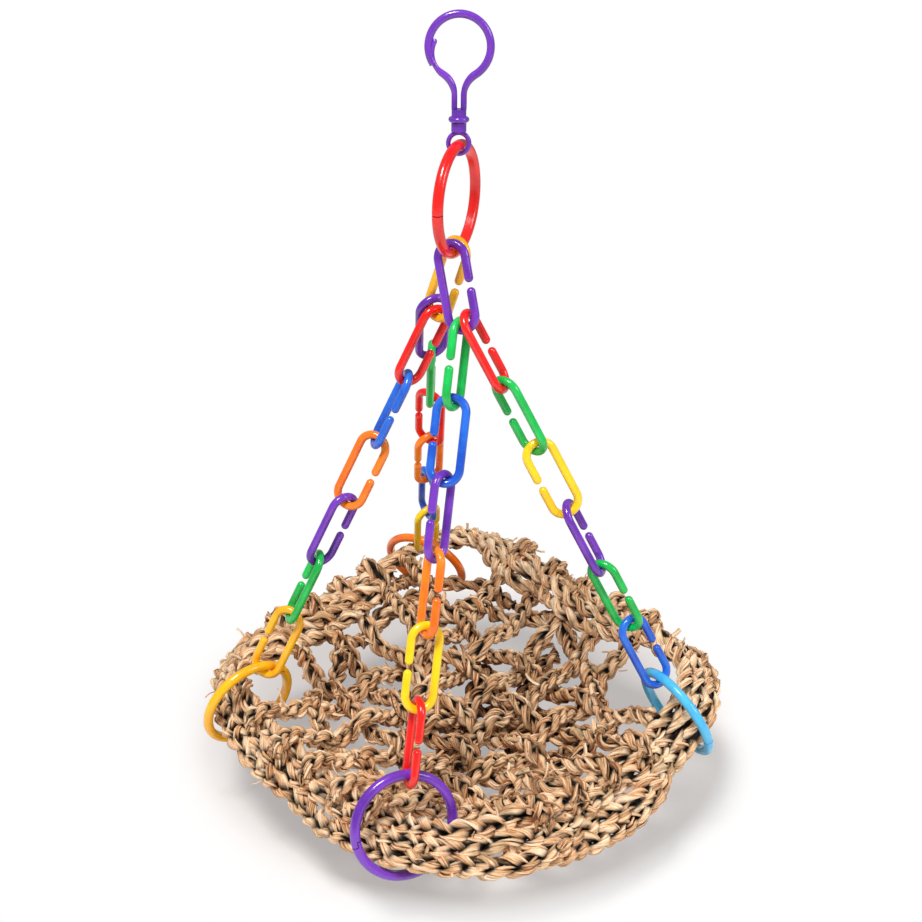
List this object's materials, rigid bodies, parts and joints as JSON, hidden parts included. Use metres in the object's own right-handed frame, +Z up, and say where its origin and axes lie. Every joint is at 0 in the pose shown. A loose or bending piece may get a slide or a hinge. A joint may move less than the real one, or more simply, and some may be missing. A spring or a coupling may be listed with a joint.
{
  "type": "bird swing",
  "caption": "Woven seagrass mat swing for a bird cage, hung by chains of plastic C links and split rings from a swivel snap hook.",
  "frame": {"origin": "where the bar that carries the swing touches the inside top of the hook's loop", "axes": "+Z up; the front corner of the mat points to -Y and the right corner to +X; the hook's loop lies in the XZ plane"},
  "size_m": [0.2607, 0.2528, 0.363],
  "materials": {
    "plastic_purple": "gloss",
    "plastic_red": "gloss",
    "plastic_lemon": "gloss",
    "plastic_amber": "gloss",
    "plastic_orange": "gloss",
    "plastic_green": "gloss",
    "plastic_blue": "gloss",
    "plastic_sky": "gloss",
    "seagrass": "natural dried grass"
  },
  "bodies": {
    "hook": {"hook_body": "plastic_purple"},
    "gate": {"hook_gate": "plastic_purple"},
    "swivel": {"swivel_eye": "plastic_purple"},
    "hanger": {"hanger_ring": "plastic_red"},
    "mat": {"rim_rope_inner": "seagrass", "rim_rope_middle": "seagrass", "rim_rope_outer": "seagrass", "lattice_warp": "seagrass", "lattice_weft": "seagrass"},
    "front_top": {"front_top_link": "plastic_purple"},
    "back_top": {"back_top_link": "plastic_amber"},
    "front_1": {"front_link_1": "plastic_green"},
    "front_2": {"front_link_2": "plastic_blue"},
    "front_3": {"front_link_3": "plastic_purple"},
    "front_4": {"front_link_4": "plastic_orange"},
    "front_5": {"front_link_5": "plastic_lemon"},
    "front_6": {"front_link_6": "plastic_red"},
    "front_corner": {"front_ring": "plastic_purple"},
    "right_1": {"right_link_1": "plastic_red"},
    "right_2": {"right_link_2": "plastic_green"},
    "right_3": {"right_link_3": "plastic_lemon"},
    "right_4": {"right_link_4": "plastic_purple"},
    "right_5": {"right_link_5": "plastic_green"},
    "right_6": {"right_link_6": "plastic_blue"},
    "right_corner": {"right_ring": "plastic_sky"},
    "left_1": {"left_link_1": "plastic_red"},
    "left_2": {"left_link_2": "plastic_blue"},
    "left_3": {"left_link_3": "plastic_orange"},
    "left_4": {"left_link_4": "plastic_purple"},
    "left_5": {"left_link_5": "plastic_green"},
    "left_6": {"left_link_6": "plastic_amber"},
    "left_corner": {"left_ring": "plastic_amber"},
    "back_1": {"back_link_1": "plastic_purple"},
    "back_2": {"back_link_2": "plastic_green"},
    "back_3": {"back_link_3": "plastic_red"},
    "back_4": {"back_link_4": "plastic_orange"},
    "back_5": {"back_link_5": "plastic_blue"},
    "back_6": {"back_link_6": "plastic_lemon"},
    "back_corner": {"back_ring": "plastic_orange"}
  },
  "joints": [
    {"name": "gate_flex", "type": "hinge", "parent": "hook", "child": "gate", "pos_m": [-0.00195, 0, -0.0362], "axis": [0, 1, 0], "range_deg": [0, 12], "stiffness_Nm_per_rad": 0.05},
    {"name": "eye_swivel", "type": "hinge", "parent": "hook", "child": "swivel", "pos_m": [0, 0, -0.0503], "axis": [0, 0, 1], "continuous": true},
    {"name": "ring_swing", "type": "hinge", "parent": "swivel", "child": "hanger", "pos_m": [0, 0, -0.0547], "axis": [1, 0, 0], "range_deg": [-25, 25]},
    {"name": "mat_swing", "type": "hinge", "parent": "hanger", "child": "mat", "pos_m": [-0.00158, -0.00111, -0.09699], "axis": [-0.3395, -0.938, 0.0695], "range_deg": [-25, 25]},
    {"name": "front_top_roll", "type": "hinge", "parent": "mat", "child": "front_top", "pos_m": [-0.00375, -0.00371, -0.09248], "axis": [0.1836, -0.2527, -0.95], "range_deg": [-5, 5]},
    {"name": "back_top_roll", "type": "hinge", "parent": "mat", "child": "back_top", "pos_m": [0.00106, 0.00196, -0.09306], "axis": [-0.2916, 0.1486, -0.9449], "range_deg": [-5, 5]},
    {"name": "front_1_roll", "type": "hinge", "parent": "mat", "child": "front_1", "pos_m": [0.00215, -0.01117, -0.12502], "axis": [-0.1018, -0.3552, -0.9292], "range_deg": [-5, 5]},
    {"name": "front_2_roll", "type": "hinge", "parent": "mat", "child": "front_2", "pos_m": [-0.0013, -0.02321, -0.15652], "axis": [-0.1018, -0.3552, -0.9292], "range_deg": [-5, 5]},
    {"name": "front_3_roll", "type": "hinge", "parent": "mat", "child": "front_3", "pos_m": [-0.00475, -0.03525, -0.18802], "axis": [-0.1018, -0.3552, -0.9292], "range_deg": [-5, 5]},
    {"name": "front_4_roll", "type": "hinge", "parent": "mat", "child": "front_4", "pos_m": [-0.0082, -0.04729, -0.21952], "axis": [-0.1018, -0.3552, -0.9292], "range_deg": [-5, 5]},
    {"name": "front_5_roll", "type": "hinge", "parent": "mat", "child": "front_5", "pos_m": [-0.01165, -0.05933, -0.25102], "axis": [-0.1018, -0.3552, -0.9292], "range_deg": [-5, 5]},
    {"name": "front_6_roll", "type": "hinge", "parent": "mat", "child": "front_6", "pos_m": [-0.0151, -0.07137, -0.28253], "axis": [-0.1018, -0.3552, -0.9292], "range_deg": [-5, 5]},
    {"name": "front_corner_turn", "type": "hinge", "parent": "mat", "child": "front_corner", "pos_m": [-0.02088, -0.09153, -0.33526], "axis": [0.3741, -0.8792, 0.2951], "continuous": true},
    {"name": "right_1_roll", "type": "hinge", "parent": "mat", "child": "right_1", "pos_m": [0.00364, -0.01365, -0.1213], "axis": [0.4701, -0.0379, -0.8818], "range_deg": [-5, 5]},
    {"name": "right_2_roll", "type": "hinge", "parent": "mat", "child": "right_2", "pos_m": [0.01958, -0.01494, -0.15119], "axis": [0.4701, -0.0379, -0.8818], "range_deg": [-5, 5]},
    {"name": "right_3_roll", "type": "hinge", "parent": "mat", "child": "right_3", "pos_m": [0.03552, -0.01622, -0.18109], "axis": [0.4701, -0.0379, -0.8818], "range_deg": [-5, 5]},
    {"name": "right_4_roll", "type": "hinge", "parent": "mat", "child": "right_4", "pos_m": [0.05145, -0.01751, -0.21098], "axis": [0.4701, -0.0379, -0.8818], "range_deg": [-5, 5]},
    {"name": "right_5_roll", "type": "hinge", "parent": "mat", "child": "right_5", "pos_m": [0.06739, -0.01879, -0.24087], "axis": [0.4701, -0.0379, -0.8818], "range_deg": [-5, 5]},
    {"name": "right_6_roll", "type": "hinge", "parent": "mat", "child": "right_6", "pos_m": [0.08333, -0.02007, -0.27076], "axis": [0.4701, -0.0379, -0.8818], "range_deg": [-5, 5]},
    {"name": "right_corner_turn", "type": "hinge", "parent": "mat", "child": "right_corner", "pos_m": [0.11001, -0.02223, -0.32081], "axis": [0.7948, 0.4527, 0.4043], "continuous": true},
    {"name": "left_1_roll", "type": "hinge", "parent": "mat", "child": "left_1", "pos_m": [-0.00752, 0.00708, -0.12552], "axis": [-0.4258, -0.0535, -0.9032], "range_deg": [-5, 5]},
    {"name": "left_2_roll", "type": "hinge", "parent": "mat", "child": "left_2", "pos_m": [-0.02196, 0.00527, -0.15614], "axis": [-0.4258, -0.0535, -0.9032], "range_deg": [-5, 5]},
    {"name": "left_3_roll", "type": "hinge", "parent": "mat", "child": "left_3", "pos_m": [-0.03639, 0.00346, -0.18676], "axis": [-0.4258, -0.0535, -0.9032], "range_deg": [-5, 5]},
    {"name": "left_4_roll", "type": "hinge", "parent": "mat", "child": "left_4", "pos_m": [-0.05083, 0.00164, -0.21738], "axis": [-0.4258, -0.0535, -0.9032], "range_deg": [-5, 5]},
    {"name": "left_5_roll", "type": "hinge", "parent": "mat", "child": "left_5", "pos_m": [-0.06526, -0.00017, -0.248], "axis": [-0.4258, -0.0535, -0.9032], "range_deg": [-5, 5]},
    {"name": "left_6_roll", "type": "hinge", "parent": "mat", "child": "left_6", "pos_m": [-0.07969, -0.00198, -0.27862], "axis": [-0.4258, -0.0535, -0.9032], "range_deg": [-5, 5]},
    {"name": "left_corner_turn", "type": "hinge", "parent": "mat", "child": "left_corner", "pos_m": [-0.10386, -0.00502, -0.32988], "axis": [-0.6276, 0.7365, 0.2522], "continuous": true},
    {"name": "back_1_roll", "type": "hinge", "parent": "mat", "child": "back_1", "pos_m": [-0.01082, 0.00709, -0.12076], "axis": [-0.0295, 0.4991, -0.866], "range_deg": [-5, 5]},
    {"name": "back_2_roll", "type": "hinge", "parent": "mat", "child": "back_2", "pos_m": [-0.01182, 0.02401, -0.15012], "axis": [-0.0295, 0.4991, -0.866], "range_deg": [-5, 5]},
    {"name": "back_3_roll", "type": "hinge", "parent": "mat", "child": "back_3", "pos_m": [-0.01282, 0.04093, -0.17948], "axis": [-0.0295, 0.4991, -0.866], "range_deg": [-5, 5]},
    {"name": "back_4_roll", "type": "hinge", "parent": "mat", "child": "back_4", "pos_m": [-0.01382, 0.05785, -0.20884], "axis": [-0.0295, 0.4991, -0.866], "range_deg": [-5, 5]},
    {"name": "back_5_roll", "type": "hinge", "parent": "mat", "child": "back_5", "pos_m": [-0.01482, 0.07477, -0.23819], "axis": [-0.0295, 0.4991, -0.866], "range_deg": [-5, 5]},
    {"name": "back_6_roll", "type": "hinge", "parent": "mat", "child": "back_6", "pos_m": [-0.01582, 0.09169, -0.26755], "axis": [-0.0295, 0.4991, -0.866], "range_deg": [-5, 5]},
    {"name": "back_corner_turn", "type": "hinge", "parent": "mat", "child": "back_corner", "pos_m": [-0.01749, 0.12002, -0.3167], "axis": [0.3917, 0.8029, 0.4494], "continuous": true}
  ]
}
